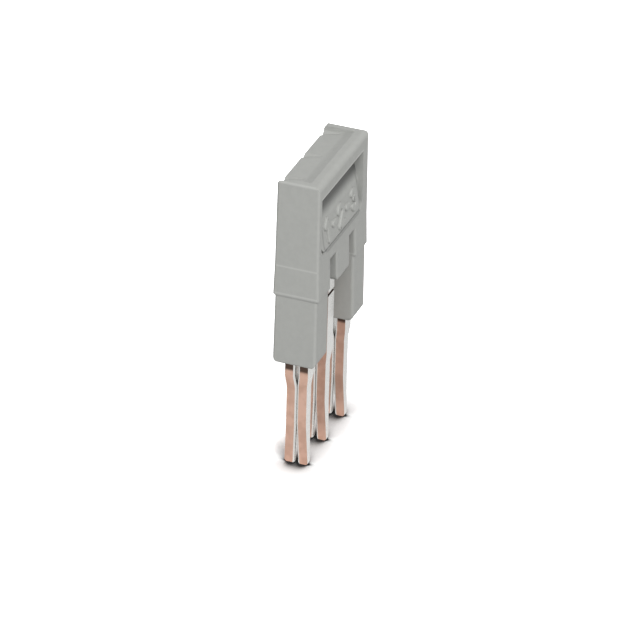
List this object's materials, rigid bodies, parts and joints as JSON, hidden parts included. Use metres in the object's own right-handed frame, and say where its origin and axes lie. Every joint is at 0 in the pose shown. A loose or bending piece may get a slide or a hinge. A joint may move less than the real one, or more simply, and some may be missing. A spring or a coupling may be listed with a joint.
{
  "type": "terminal jumper",
  "caption": "Plug-in jumper for terminal blocks: slim moulded housing with a finger grip, over paired stamped contact combs with tapered legs.",
  "frame": {"origin": "middle of the row of leg tips, on the plane that the tips stand on", "axes": "+Z from the leg tips up to the top of the housing, +X along the row of poles, the finger grip faces -Y"},
  "size_m": [0.0092, 0.0032, 0.0217],
  "materials": {
    "moulded_plastic": "warm grey, fine moulded texture",
    "tinned_copper": "bright tin plating on the faces, bare copper on the sheared edges"
  },
  "bodies": {
    "root": {"housing": "moulded_plastic", "front_contact_comb": "tinned_copper", "rear_contact_comb": "tinned_copper"}
  },
  "joints": []
}
